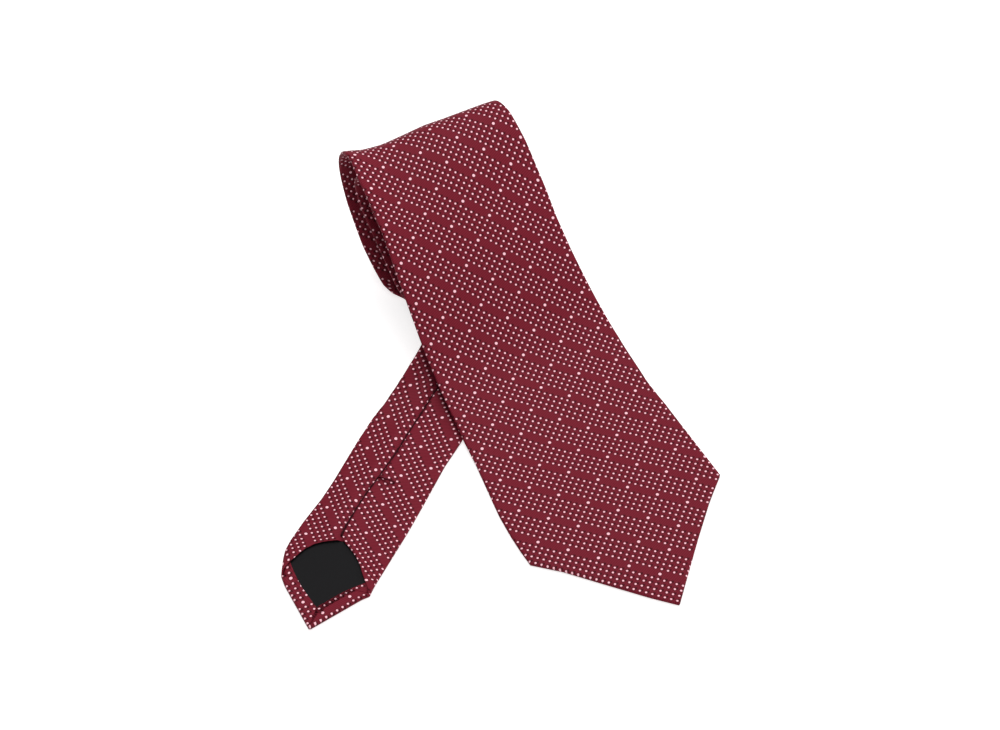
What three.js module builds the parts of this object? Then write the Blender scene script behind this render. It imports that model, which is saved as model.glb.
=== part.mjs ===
// Necktie, folded in two, wound up into a loose flat roll and laid down:
// the blade comes out of the roll face up, the tail comes out from under it
// back up, splayed to the left.
//
// Units mm, +Z up, +Y from the blade's tip towards the roll.  The tie is one
// long ribbon.  Its side view is a pair of curves in the Y-Z plane, one for
// the blade's half and one for the tail's half, joined by a fold in the
// middle of the roll.  Every sewn piece is swept along that ribbon.
import * as THREE from "three";

// ---- driving dimensions (mm) ----------------------------------------------
const TIE_T = 1.7; // thickness of the made-up tie: two shells and the interlining
const SHELL_T = 0.3; // outer silk
const LINING_T = 0.55; // pressed wool interlining
const PITCH = 2.0; // centre to centre of neighbouring turns in the roll
const TABLE = TIE_T / 2; // height of the tie's mid-plane where it lies flat
const TILT = 0.0016; // the roll stands a little higher at its open left end

const BLADE_POINT = 42.5; // blade tip to corners, 90 degree point, 85 wide
const BLADE_ARCH = 38; // corners to the top of the arched opening on the back
const TAIL_POINT = 21.5; // tail tip to corners, 38 wide
const TAIL_HALF = 19;
const BLADE_HEM = 11; // tip to the point where the two hems' inner edges meet
const TAIL_HEM = 10.1;
// Half width of the arched opening between the tail's back flaps against the
// distance from its tip.
const TAIL_ARCH = [
  [21.5, 18.6], [24.4, 17.8], [26.7, 16.8], [30.2, 15], [34, 13.3], [37, 11],
  [39.8, 8.2], [41.5, 5], [43, 1.6], [43.8, 0.62],
];
const SLIT = 0.62; // half gap between the two back flaps, where the thread lies
const BLADE_HINGE = 98; // distance from the blade's tip where its free end lifts
const TAIL_HINGE = 100; // distance from the tail's tip where its free end lifts
const BLADE_SEAM = 600; // blade panel to neck panel, from the blade's tip
const NECK_SEAM = 960; // neck panel to tail panel
const LINING_JOIN = 745; // where the two interlining pieces meet
const CUT = 0.15; // half of the clearance at a joint line
const SEAM_GAP = 0.55; // half of the gap that holds a panel seam's thread

// Full width of the folded tie against the distance from the blade's tip.
const WIDTHS = [
  [42.5, 85], [100, 83.4], [180, 81], [264, 79], [320, 73.5], [370, 67.5],
  [430, 60], [500, 52.5], [570, 46], [650, 40], [740, 35.5], [830, 33],
  [900, 32.5], [1000, 33], [1100, 34], [1250, 37], [1330, 38],
];

// ---- side view of the roll -------------------------------------------------
const ROLL_O = [195.0, 49.2]; // point on the upper run
const ROLL_ANG = (37 * Math.PI) / 180; // lean of the flattened roll
const ROLL_H = 18.0; // half height of the inner coil
const ROLL_A = 15.4; // half length of its straight runs
const ROLL_C = 0.9; // shift of the coil along the lean
const ROLL_D = 2.15 + ROLL_H; // depth of the coil's centre under the upper run
const TURNS = 3; // whole turns before the fold
const FOLD_AT = 13.0; // place of the fold along the coil's straight run

// Blade's half: flat on the surface, up the ramp, over the crest, down the
// far side, along the underside and up into the coil.
const BLADE_RUN = [
  [0, TABLE], [20, TABLE], [40, TABLE], [60, TABLE], [80, TABLE], [92, 0.9],
  [102, 1.7], [112, 3.3], [122, 4.4], [131, 5.8], [140, 8.6], [149, 13.0],
  [157, 18.5], [165, 25.0], [174, 32.6], [184, 40.8], [195, 49.2],
  [206.5, 57.0], [217, 62.8], [225.5, 65.9], [232.8, 65.6], [238.8, 61.6],
  [242.5, 54.8], [243.4, 47.0], [241.4, 38.6], [237.0, 30.0], [230.6, 21.0],
  [222.8, 12.2], [213.8, 4.95], [204, 1.5], [195, 0.98], [186.5, 2.4],
  [179.6, 7.0], [176.4, 13.8], [177.2, 21.6], [178.9, 28.0],
];
// Tail's half, from under the blade: flat, up behind the ramp, into the coil.
const TAIL_RUN = [
  [20, TABLE], [60, TABLE], [100, TABLE], [125, TABLE], [138, 1.05],
  [147, 3.2], [155, 8.6], [163, 16.6], [171, 25.5], [177.5, 32.8],
  [186.0, 39.6],
];
// Tail's tip in plan, and its heading in degrees against the distance from
// the tip: laid at an angle to the blade and easing round into the roll.
const TAIL_TIP = [-134.0, 53.0];
const TAIL_HEADING = [
  [0, 52], [18, 52], [32, 41], [112, 41], [212, 86], [335, 86], [365, 90],
];

// ---- small helpers -----------------------------------------------------------
function lerpTable(table, s) {
  if (s <= table[0][0]) return table[0][1];
  for (let i = 1; i < table.length; i++)
    if (s <= table[i][0]) {
      const [a, va] = table[i - 1],
        [b, vb] = table[i];
      return va + ((vb - va) * (s - a)) / (b - a);
    }
  return table[table.length - 1][1];
}
function catmull(P, n) {
  const out = [];
  for (let i = 0; i < P.length - 1; i++) {
    const p1 = P[i],
      p2 = P[i + 1];
    const p0 = i ? P[i - 1] : [2 * p1[0] - p2[0], 2 * p1[1] - p2[1]];
    const p3 =
      i + 2 < P.length ? P[i + 2] : [2 * p2[0] - p1[0], 2 * p2[1] - p1[1]];
    for (let k = 0; k < n; k++) {
      const t = k / n;
      out.push(
        [0, 1].map(
          (c) =>
            0.5 *
            (2 * p1[c] +
              (-p0[c] + p2[c]) * t +
              (2 * p0[c] - 5 * p1[c] + 4 * p2[c] - p3[c]) * t * t +
              (-p0[c] + 3 * p1[c] - 3 * p2[c] + p3[c]) * t * t * t),
        ),
      );
    }
  }
  out.push([...P[P.length - 1]]);
  return out;
}
// A point of a racetrack of half height h, u turns round, in the coil's frame.
function racetrack(h, u) {
  const a = (Math.PI * h) / 2,
    L = 2 * ROLL_A;
  let q = (((u % 1) + 1) % 1) * (2 * L + 4 * a);
  if (q < a) return [-ROLL_A - h * Math.cos(q / h), -h * Math.sin(q / h)];
  q -= a;
  if (q < L) return [-ROLL_A + q, -h];
  q -= L;
  if (q < 2 * a) return [ROLL_A + h * Math.sin(q / h), -h * Math.cos(q / h)];
  q -= 2 * a;
  if (q < L) return [ROLL_A - q, h];
  q -= L;
  return [-ROLL_A - h * Math.sin(q / h), h * Math.cos(q / h)];
}
function coilPoint(h0, u) {
  const [a, b] = racetrack(h0 - 2 * PITCH * u, u);
  const c = Math.cos(ROLL_ANG),
    s = Math.sin(ROLL_ANG);
  return [
    ROLL_O[0] + c * (ROLL_C + a) + s * (ROLL_D + b),
    ROLL_O[1] + s * (ROLL_C + a) - c * (ROLL_D + b),
  ];
}
function turnsAtFold(h0) {
  let u = TURNS + 0.3;
  for (let i = 0; i < 60; i++) {
    const h = h0 - 2 * PITCH * u;
    u =
      TURNS +
      ((Math.PI * h) / 2 + ROLL_A + FOLD_AT) / (4 * ROLL_A + 2 * Math.PI * h);
  }
  return u;
}
function strand(h0, u0, u1) {
  const n = Math.ceil((u1 - u0) / 0.012),
    out = [];
  for (let i = 0; i <= n; i++) out.push(coilPoint(h0, u0 + ((u1 - u0) * i) / n));
  return out;
}

// ---- the ribbon's side view as one curve, blade tip to the tail's side ------
const bladeCurve = catmull(
  [...BLADE_RUN, ...strand(ROLL_H - PITCH, 0.125, turnsAtFold(ROLL_H - PITCH))],
  4,
);
const tailCurve = catmull(
  [...TAIL_RUN, ...strand(ROLL_H, 0.215, turnsAtFold(ROLL_H))],
  4,
);
const foldArc = [];
{
  const a = bladeCurve[bladeCurve.length - 1],
    b = tailCurve[tailCurve.length - 1];
  const cx = (a[0] + b[0]) / 2,
    cy = (a[1] + b[1]) / 2,
    r = Math.hypot(a[0] - b[0], a[1] - b[1]) / 2;
  const start = Math.atan2(a[1] - cy, a[0] - cx);
  for (let i = 1; i < 10; i++) {
    const t = start + (Math.PI * i) / 10;
    foldArc.push([cx + r * Math.cos(t), cy + r * Math.sin(t)]);
  }
}
function makeCurve(pts) {
  const d = [0];
  for (let i = 1; i < pts.length; i++)
    d.push(
      d[i - 1] +
        Math.hypot(pts[i][0] - pts[i - 1][0], pts[i][1] - pts[i - 1][1]),
    );
  const tan = pts.map((p, i) => {
    const a = pts[Math.max(i - 1, 0)],
      b = pts[Math.min(i + 1, pts.length - 1)];
    const l = Math.hypot(b[0] - a[0], b[1] - a[1]);
    return [(b[0] - a[0]) / l, (b[1] - a[1]) / l];
  });
  const length = d[d.length - 1];
  function at(s) {
    let lo = 0,
      hi = d.length - 1;
    if (s <= 0) return [pts[0][0] + s * tan[0][0], pts[0][1], ...tan[0]];
    if (s >= length) s = length - 1e-9;
    while (hi - lo > 1) {
      const m = (lo + hi) >> 1;
      if (d[m] <= s) lo = m;
      else hi = m;
    }
    const f = (s - d[lo]) / (d[hi] - d[lo]);
    const p = [0, 1].map((c) => pts[lo][c] + f * (pts[hi][c] - pts[lo][c]));
    let t = [0, 1].map((c) => tan[lo][c] + f * (tan[hi][c] - tan[lo][c]));
    const l = Math.hypot(...t);
    return [p[0], p[1], t[0] / l, t[1] / l];
  }
  return { at, length };
}
const blade = makeCurve([...bladeCurve, ...foldArc, tailCurve[tailCurve.length - 1]]);
const tail = makeCurve(tailCurve);
const SIGMA0 = TAIL_RUN[0][0]; // the tail's curve starts at this Y

// Tail's centre line in the unrolled surface, a point every 0.5 mm.
const tailLine = [];
{
  let x = TAIL_TIP[0],
    g = TAIL_TIP[1],
    t = 0;
  const step = 0.5;
  while (g - SIGMA0 < tail.length) {
    const h = (lerpTable(TAIL_HEADING, t) * Math.PI) / 180;
    tailLine.push([x, g, h]);
    const hm = (lerpTable(TAIL_HEADING, t + step / 2) * Math.PI) / 180;
    x += step * Math.cos(hm);
    g += step * Math.sin(hm);
    t += step;
  }
}
const TAIL_LEN = (tailLine.length - 1) * 0.5;
const BLADE_LEN = blade.length;
const TOTAL = BLADE_LEN + TAIL_LEN;
const X_END = tailLine[tailLine.length - 1][0];

function widthAt(s) {
  const t = TOTAL - s; // distance from the tail's tip
  if (s < BLADE_POINT) return 2 * s;
  if (t < TAIL_POINT) return (2 * t * TAIL_HALF) / TAIL_POINT;
  return lerpTable(WIDTHS, s);
}
// Half opening between the back flaps: the hems' inner edges, then the arch.
function openingAt(s) {
  const t = TOTAL - s;
  if (s < 300) {
    const k = Math.min(1, Math.max(0, s - BLADE_POINT) / BLADE_ARCH);
    const arch = 41.4 * Math.sqrt(1 - Math.pow(k, 2.4));
    return Math.max(s < BLADE_POINT ? 0.3 : SLIT, Math.min(s - BLADE_HEM, arch));
  }
  if (t < 300)
    return Math.max(t < TAIL_POINT ? 0.3 : SLIT, Math.min(t - TAIL_HEM, lerpTable(TAIL_ARCH, t)));
  return SLIT;
}
// Where a point of the ribbon lies: s along it from the blade's tip, v across
// it (positive to the blade's right), n above its mid-plane (positive on the
// printed front).
function place(s, v, n) {
  let x, y, z;
  if (s <= BLADE_LEN) {
    const [py, pz, ty, tz] = blade.at(s);
    const k = Math.max(0, (s - 500) / (BLADE_LEN - 500));
    x = v + X_END * k * k * (3 - 2 * k);
    y = py - n * tz;
    z = pz + n * ty;
  } else {
    const q = Math.min(Math.max((TOTAL - s) / 0.5, 0), tailLine.length - 1);
    const i = Math.min(Math.floor(q), tailLine.length - 2),
      f = q - i;
    const a = tailLine[i],
      b = tailLine[i + 1];
    const h = a[2] + f * (b[2] - a[2]);
    x = a[0] + f * (b[0] - a[0]) + v * Math.sin(h);
    const g = a[1] + f * (b[1] - a[1]) - v * Math.cos(h);
    const [py, pz, ty, tz] = tail.at(g - SIGMA0);
    // the tail runs the other way along its curve, so its front faces down
    y = py + n * tz;
    z = pz - n * ty;
  }
  return [x, y, z * (1 - TILT * x)];
}

// Stations along the ribbon: close together in the bends, wide apart on the
// straight runs.
function bendStations(s0, s1) {
  const out = [s0];
  let s = s0;
  const up = (u) => {
    const a = place(u, 0, 0),
      b = place(u, 0, 1);
    return new THREE.Vector3(b[0] - a[0], b[1] - a[1], b[2] - a[2]);
  };
  while (s < s1) {
    // shorten the step until the bend over it is small enough
    let step = 14;
    const n0 = up(s);
    for (let k = 0; k < 12; k++) {
      const turn = Math.max(
        ...[0.34, 0.67, 1].map((f) => n0.angleTo(up(Math.min(s + f * step, s1)))),
      );
      if (step * turn < 0.8 || step < 0.9) break;
      step *= 0.8;
    }
    s += step;
    out.push(s);
  }
  out.pop();
  return out;
}
// One list serves every piece, so that neighbouring layers bend at the same
// places.  Where the tail turns as it climbs, its stations are even and close.
const common = [
  ...bendStations(BLADE_HINGE + 2, TOTAL - 265),
  ...Array.from({ length: 40 }, (_, i) => TOTAL - 262 + 4 * i),
  TOTAL - 101.5,
  ...WIDTHS.map(([s]) => s).filter((s) => s > 100 && s < 1100),
].sort((a, b) => a - b);
function stations(s0, s1, extra = []) {
  const inner = [...common, ...extra]
    .filter((e) => e > s0 + 0.25 && e < s1 - 0.25)
    .sort((a, b) => a - b);
  return [s0, ...inner.filter((e, i) => !i || e - inner[i - 1] > 0.08), s1];
}

// A closed solid swept along the ribbon: section(s) gives its outline as
// [v, n] pairs, always the same number of them.  Pairs that coincide share a
// vertex, so an outline can have more corners on one stretch than another.
function sweep(ss, section) {
  const pos = [],
    faces = [];
  const rings = ss.map((s) => {
    const outline = section(s),
      ids = [];
    outline.forEach(([v, n], j) => {
      const last = j && outline[j - 1];
      if (last && Math.hypot(v - last[0], n - last[1]) < 1e-6)
        ids.push(ids[j - 1]);
      else {
        ids.push(pos.length / 3);
        pos.push(...place(s, v, n));
      }
    });
    return { outline, ids };
  });
  const face = (a, b, c) => {
    if (a !== b && b !== c && c !== a) faces.push([a, b, c]);
  };
  for (let i = 0; i + 1 < rings.length; i++) {
    const p = rings[i].ids,
      q = rings[i + 1].ids,
      m = p.length;
    for (let j = 0; j < m; j++) {
      const k = (j + 1) % m;
      face(p[j], p[k], q[j]);
      face(p[k], q[k], q[j]);
    }
  }
  const edges = new Set();
  for (const t of faces)
    for (let k = 0; k < 3; k++) edges.add(t[k] + ":" + t[(k + 1) % 3]);
  // each end is closed by its outline, its edges running against the walls'
  for (const { outline, ids } of [rings[0], rings[rings.length - 1]]) {
    const keep = ids.map((_, j) => j).filter((j) => !j || ids[j] !== ids[j - 1]);
    const tris = THREE.ShapeUtils.triangulateShape(
      keep.map((j) => new THREE.Vector2(...outline[j])),
      [],
    ).map((t) => t.map((j) => ids[keep[j]]));
    const same = tris.some((t) =>
      [0, 1, 2].some((k) => edges.has(t[k] + ":" + t[(k + 1) % 3])),
    );
    for (const [a, b, c] of tris) same ? face(a, c, b) : face(a, b, c);
  }
  let volume = 0;
  const corner = (i) => new THREE.Vector3().fromArray(pos, i * 3);
  for (const [a, b, c] of faces)
    volume += corner(a).dot(corner(b).cross(corner(c))) / 6;
  const g = new THREE.BufferGeometry();
  g.setAttribute("position", new THREE.Float32BufferAttribute(pos, 3));
  g.setIndex((volume < 0 ? faces.map(([a, b, c]) => [a, c, b]) : faces).flat());
  g.computeVertexNormals();
  return g;
}

// ---- outlines ----------------------------------------------------------------
const H = TIE_T / 2;
// Where the tail climbs at an angle its outline is divided across the width.
const CLIMB = [TOTAL - 250, TOTAL - 108];
const across = (s) => (s > CLIMB[0] && s < CLIMB[1] ? 1 : 0);
const run = (s, v0, v1, n, parts) => {
  // corners from v0 towards v1, without v1 itself
  const out = [];
  for (let i = 0; i < parts; i++)
    out.push([v0 + (across(s) * (v1 - v0) * i) / parts, n]);
  return out;
};
function shellSection(s) {
  const w = widthAt(s) / 2,
    g = Math.min(openingAt(s), w - SHELL_T - 0.05),
    t = SHELL_T;
  return [
    ...run(s, -g, -w, -H, 3), [-w, -H],
    ...run(s, -w, w, H, 6), [w, H],
    ...run(s, w, g, -H, 3), [g, -H],
    ...run(s, g, w - t, t - H, 3), [w - t, t - H],
    ...run(s, w - t, t - w, H - t, 6), [t - w, H - t],
    ...run(s, t - w, -g, t - H, 3), [-g, t - H],
  ];
}
const barSection = (v0, v1, n0, n1) => () => [
  [v0, n0], [v1, n0], [v1, n1], [v0, n1],
];
function liningSection(s) {
  const w = Math.max(widthAt(s) / 2 - 0.9, 0.25),
    t = LINING_T / 2;
  return [
    ...run(s, -w, w, -t, 6), [w, -t],
    ...run(s, w, -w, t, 6), [-w, t],
  ];
}
function tippingSection(s) {
  const g = Math.max(openingAt(s) - 0.5, 0.2);
  return [[-g, -0.8], [g, -0.8], [g, -0.6], [-g, -0.6]];
}

// ---- materials -----------------------------------------------------------------
const silk = new THREE.MeshStandardMaterial({ color: 0x7c1f33, roughness: 0.55, metalness: 0 });
const wool = new THREE.MeshStandardMaterial({ color: 0xe6dfd0, roughness: 0.95, metalness: 0 });
const lining = new THREE.MeshStandardMaterial({ color: 0x151516, roughness: 0.6, metalness: 0 });
const thread = new THREE.MeshStandardMaterial({ color: 0x7a1a30, roughness: 0.5, metalness: 0 });
const label = new THREE.MeshStandardMaterial({ color: 0x1c1c1f, roughness: 0.7, metalness: 0 });
const tag = new THREE.MeshStandardMaterial({ color: 0xe9e7e1, roughness: 0.7, metalness: 0 });

const tie = new THREE.Group();
const add = (name, geometry, material) => {
  const mesh = new THREE.Mesh(geometry, material);
  mesh.name = name;
  tie.add(mesh);
  return mesh;
};

// ---- outer silk: blade, neck and tail panels --------------------------------
const bladeMarks = [3, 7, 11.3, 14, 24, BLADE_POINT, 46, 50, 52.4, 55, 60]
  .concat([0.6, 0.75, 0.86, 0.94, 0.985, 1].map((k) => BLADE_POINT + BLADE_ARCH * k));
const tailMarks = [3, 6, 10.4, 13, 17, ...TAIL_ARCH.map(([t]) => t)].map((t) => TOTAL - t);
const tailHinge = TOTAL - TAIL_HINGE;

add("blade_shell_end", sweep(stations(0.8, BLADE_HINGE - CUT, bladeMarks), shellSection), silk);
add("blade_shell_roll", sweep(stations(BLADE_HINGE + CUT, BLADE_SEAM - SEAM_GAP), shellSection), silk);
add("neck_shell", sweep(stations(BLADE_SEAM + SEAM_GAP, NECK_SEAM - SEAM_GAP), shellSection), silk);
add("tail_shell_roll", sweep(stations(NECK_SEAM + SEAM_GAP, tailHinge - CUT), shellSection), silk);
add("tail_shell_end", sweep(stations(tailHinge + CUT, TOTAL - 0.8, tailMarks), shellSection), silk);

// ---- interlining: two pieces, each also divided at its end's bend ------------
add("blade_interlining_end", sweep(stations(3, BLADE_HINGE - CUT, bladeMarks), liningSection), wool);
add("blade_interlining_roll", sweep(stations(BLADE_HINGE + CUT, LINING_JOIN - 0.2), liningSection), wool);
add("tail_interlining_roll", sweep(stations(LINING_JOIN + 0.2, tailHinge - CUT), liningSection), wool);
add("tail_interlining_end", sweep(stations(tailHinge + CUT, TOTAL - 3, tailMarks), liningSection), wool);

// ---- tippings: lining set into the back of each point ------------------------
add("blade_tipping", sweep(
  [12.5, ...bladeMarks.filter((d) => d > 13 && d < 79), BLADE_POINT + BLADE_ARCH * 0.98],
  tippingSection), lining);
add("tail_tipping", sweep(
  [TOTAL - 42.6, ...tailMarks.filter((s) => s > TOTAL - 42 && s < TOTAL - 12).sort((a, b) => a - b), TOTAL - 11.5],
  tippingSection), lining);

// ---- slip stitch: the long thread that closes the back, lying in the slit ----
const stitch = () => [[-0.22, -0.8], [0.22, -0.8], [0, -0.48]];
add("slip_stitch_blade_end", sweep(stations(BLADE_POINT + BLADE_ARCH + 2, BLADE_HINGE - CUT), stitch), thread);
add("slip_stitch_roll", sweep(stations(BLADE_HINGE + CUT, tailHinge - CUT), stitch), thread);
add("slip_stitch_tail_end", sweep(stations(tailHinge + CUT, TOTAL - 46), stitch), thread);

// ---- panel seams: the thread that joins neighbouring panels --------------------
const seamBar = (s) => {
  const w = widthAt(s) / 2 - 0.6;
  return [[-w, 0.55], [w, 0.55], [w, 0.85], [-w, 0.85]];
};
add("blade_neck_seam", sweep([BLADE_SEAM - 0.16, BLADE_SEAM + 0.16], seamBar), thread);
add("neck_tail_seam", sweep([NECK_SEAM - 0.16, NECK_SEAM + 0.16], seamBar), thread);

// ---- bar tacks: a short arched thread across the slit on the back -------------
// swept along its own arch, square to the tie
function barTack(s, reach, rise) {
  const pts = [];
  for (let i = 0; i <= 10; i++) {
    const k = i / 10;
    pts.push(new THREE.Vector3(...place(s + 0.6 * Math.sin(Math.PI * k), -reach + 2 * reach * k, -(H + 0.58 + rise * Math.sin(Math.PI * k)))));
  }
  const ring = new THREE.Shape();
  ring.absarc(0, 0, 0.26, 0, 2 * Math.PI, false);
  return new THREE.ExtrudeGeometry(ring, {
    steps: 12,
    curveSegments: 4,
    bevelEnabled: false,
    extrudePath: new THREE.CatmullRomCurve3(pts),
  });
}
add("blade_bar_tack", barTack(118, 3.4, 0.5), thread);
add("tail_bar_tack", barTack(TOTAL - 78.6, 3.1, 0.6), thread);

// ---- keeper loop and labels on the blade's back, behind the ramp ---------------
// the keeper is a strip of self fabric, caught down at its two ends
add("keeper_loop", (() => {
  const prof = [[-30, -1.2], [-26, -1.2], [-23, -1.75], [23, -1.75], [26, -1.2], [30, -1.2],
    [30, -1.55], [26.4, -1.55], [23.3, -2.15], [-23.3, -2.15], [-26.4, -1.55], [-30, -1.55]];
  return sweep(stations(158, 171), () => prof);
})(), silk);
add("brand_label", sweep(stations(130, 152), barSection(-22, 22, -1.5, -1.2)), label);
add("care_label", sweep(stations(133, 149), barSection(24, 36, -1.5, -1.2)), tag);

// ---- stand the part on its own frame: middle of its footprint, resting at z=0 --
const box = new THREE.Box3().setFromObject(tie);
const centre = box.getCenter(new THREE.Vector3());
tie.position.set(-centre.x, -centre.y, -box.min.z);

const part = new THREE.Group();
part.add(tie);
export default part;
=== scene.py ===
"""A burgundy silk necktie, folded in two and wound into a loose flat roll, its blade face up and its tail splayed beside it."""

import math

import bmesh
import bpy
import numpy as np
from mathutils import Matrix, Vector


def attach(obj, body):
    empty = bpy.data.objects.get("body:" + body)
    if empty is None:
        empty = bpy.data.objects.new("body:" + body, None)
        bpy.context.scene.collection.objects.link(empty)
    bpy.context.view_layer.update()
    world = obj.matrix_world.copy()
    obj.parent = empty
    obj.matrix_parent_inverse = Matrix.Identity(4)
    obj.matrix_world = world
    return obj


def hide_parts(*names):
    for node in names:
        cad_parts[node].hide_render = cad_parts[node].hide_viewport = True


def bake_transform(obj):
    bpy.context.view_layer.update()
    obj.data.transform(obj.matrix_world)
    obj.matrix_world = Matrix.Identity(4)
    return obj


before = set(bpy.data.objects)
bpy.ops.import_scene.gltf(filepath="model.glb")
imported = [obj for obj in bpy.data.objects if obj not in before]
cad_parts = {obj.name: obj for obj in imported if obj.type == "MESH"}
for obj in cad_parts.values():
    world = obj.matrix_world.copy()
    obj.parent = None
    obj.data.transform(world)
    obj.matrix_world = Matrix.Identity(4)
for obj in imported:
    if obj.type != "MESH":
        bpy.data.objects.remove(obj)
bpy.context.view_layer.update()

# ---------------------------------------------------------------- dimensions
# Millimetres, in the tie's own frame: blade tip at (0, 0), +Y towards the
# roll, +Z up.  SHIFT then stands it in the part's frame.
SHIFT = np.array([46.43612, -122.54619, 0.03502])
TIE_T, PITCH = 1.7, 2.0
TABLE, TILT = TIE_T / 2, 0.0016
BLADE_POINT, TAIL_POINT, TAIL_HALF = 42.5, 21.5, 19.0
BLADE_SEAM, NECK_SEAM, LINING_JOIN = 600.0, 960.0, 745.0
WIDTHS = np.array(
    [[42.5, 85], [100, 83.4], [180, 81], [264, 79], [320, 73.5], [370, 67.5], [430, 60], [500, 52.5], [570, 46],
     [650, 40], [740, 35.5], [830, 33], [900, 32.5], [1000, 33], [1100, 34], [1250, 37], [1330, 38]], float)
ROLL_O, ROLL_ANG, ROLL_H, ROLL_A, ROLL_C = (195.0, 49.2), math.radians(37), 18.0, 15.4, 0.9
ROLL_D, TURNS, FOLD_AT = 2.15 + ROLL_H, 3, 13.0
BLADE_RUN = [
    (0, TABLE), (20, TABLE), (40, TABLE), (60, TABLE), (80, TABLE), (92, 0.9), (102, 1.7), (112, 3.3), (122, 4.4),
    (131, 5.8), (140, 8.6), (149, 13.0), (157, 18.5), (165, 25.0), (174, 32.6), (184, 40.8), (195, 49.2),
    (206.5, 57.0), (217, 62.8), (225.5, 65.9), (232.8, 65.6), (238.8, 61.6), (242.5, 54.8), (243.4, 47.0),
    (241.4, 38.6), (237.0, 30.0), (230.6, 21.0), (222.8, 12.2), (213.8, 4.95), (204, 1.5), (195, 0.98),
    (186.5, 2.4), (179.6, 7.0), (176.4, 13.8), (177.2, 21.6), (178.9, 28.0)]
TAIL_RUN = [
    (20, TABLE), (60, TABLE), (100, TABLE), (125, TABLE), (138, 1.05), (147, 3.2), (155, 8.6), (163, 16.6),
    (171, 25.5), (177.5, 32.8), (186.0, 39.6)]
TAIL_TIP = (-134.0, 53.0)
TAIL_HEADING = np.array([[0, 52], [18, 52], [32, 41], [112, 41], [212, 86], [335, 86], [365, 90]], float)
DOT = 2.55  # spacing of the woven dots


def ramp(x, a, b):
    """0 at a, 1 at b, smooth between."""
    t = np.clip((np.asarray(x, float) - a) / (b - a), 0, 1)
    return t * t * (3 - 2 * t)


# ---------------------------------------------------------------- the ribbon
def catmull(P, n):
    P = np.array(P, float)
    P = np.vstack([2 * P[0] - P[1], P, 2 * P[-1] - P[-2]])
    t = (np.arange(n) / n)[:, None]
    out = [
        0.5 * (2 * p1 + (p2 - p0) * t + (2 * p0 - 5 * p1 + 4 * p2 - p3) * t**2 + (3 * p1 - p0 - 3 * p2 + p3) * t**3)
        for p0, p1, p2, p3 in zip(P, P[1:], P[2:], P[3:])]
    return np.vstack([*out, P[-2]])


def racetrack(h, u):
    a, L = math.pi * h / 2, 2 * ROLL_A
    q = (u % 1) * (2 * L + 4 * a)
    if q < a:
        return -ROLL_A - h * math.cos(q / h), -h * math.sin(q / h)
    q -= a
    if q < L:
        return -ROLL_A + q, -h
    q -= L
    if q < 2 * a:
        return ROLL_A + h * math.sin(q / h), -h * math.cos(q / h)
    q -= 2 * a
    if q < L:
        return ROLL_A - q, h
    q -= L
    return -ROLL_A - h * math.sin(q / h), h * math.cos(q / h)


def coil_point(h0, u):
    a, b = racetrack(h0 - 2 * PITCH * u, u)
    c, s = math.cos(ROLL_ANG), math.sin(ROLL_ANG)
    return ROLL_O[0] + c * (ROLL_C + a) + s * (ROLL_D + b), ROLL_O[1] + s * (ROLL_C + a) - c * (ROLL_D + b)


def turns_at_fold(h0):
    u = TURNS + 0.3
    for _ in range(60):
        h = h0 - 2 * PITCH * u
        u = TURNS + (math.pi * h / 2 + ROLL_A + FOLD_AT) / (4 * ROLL_A + 2 * math.pi * h)
    return u


def strand(h0, u0, u1):
    n = math.ceil((u1 - u0) / 0.012)
    return [coil_point(h0, u0 + (u1 - u0) * i / n) for i in range(n + 1)]


class Curve:
    def __init__(self, pts):
        self.p = np.array(pts, float)
        self.d = np.concatenate([[0], np.cumsum(np.hypot(*np.diff(self.p, axis=0).T))])
        t = np.vstack([self.p[1] - self.p[0], self.p[2:] - self.p[:-2], self.p[-1] - self.p[-2]])
        self.t = t / np.hypot(*t.T)[:, None]
        self.length = self.d[-1]

    def at(self, s):
        y, z, ty, tz = (np.interp(s, self.d, c) for c in (self.p[:, 0], self.p[:, 1], self.t[:, 0], self.t[:, 1]))
        y = y + np.minimum(s, 0) * ty  # straight on before the start
        k = np.hypot(ty, tz)
        return y, z, ty / k, tz / k


blade_pts = catmull([*BLADE_RUN, *strand(ROLL_H - PITCH, 0.125, turns_at_fold(ROLL_H - PITCH))], 10)
tail_pts = catmull([*TAIL_RUN, *strand(ROLL_H, 0.215, turns_at_fold(ROLL_H))], 10)
a, b = blade_pts[-1], tail_pts[-1]
mid, rad, start = (a + b) / 2, np.hypot(*(a - b)) / 2, math.atan2(*(a - (a + b) / 2)[::-1])
fold = [mid + rad * np.array([math.cos(start + math.pi * i / 24), math.sin(start + math.pi * i / 24)]) for i in range(1, 24)]
blade_curve, tail_curve = Curve([*blade_pts, *fold, tail_pts[-1]]), Curve(tail_pts)

line, x, g, t = [], *TAIL_TIP, 0.0
heading = lambda d: math.radians(np.interp(d, TAIL_HEADING[:, 0], TAIL_HEADING[:, 1]))  # noqa: E731
while g - TAIL_RUN[0][0] < tail_curve.length:
    line.append((x, g, heading(t)))
    x, g, t = x + 0.5 * math.cos(heading(t + 0.25)), g + 0.5 * math.sin(heading(t + 0.25)), t + 0.5
line = np.array(line)
TAIL_LEN, BLADE_LEN = (len(line) - 1) * 0.5, blade_curve.length
TOTAL, X_END = BLADE_LEN + TAIL_LEN, line[-1, 0]


INNER_SHIFT = -8.0  # the inner turns stand out a little at the roll's open left end
CREST = np.array([[-42, -1.6], [-37, -2.4], [-30, -3.9], [-21, -3.7], [-10, -1.2], [0, 1.4], [10, 2.7], [20, 4.5], [30, 6.4], [38, 7.4]])


def table(x, rows):
    return np.interp(x, rows[:, 0], rows[:, 1])


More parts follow.
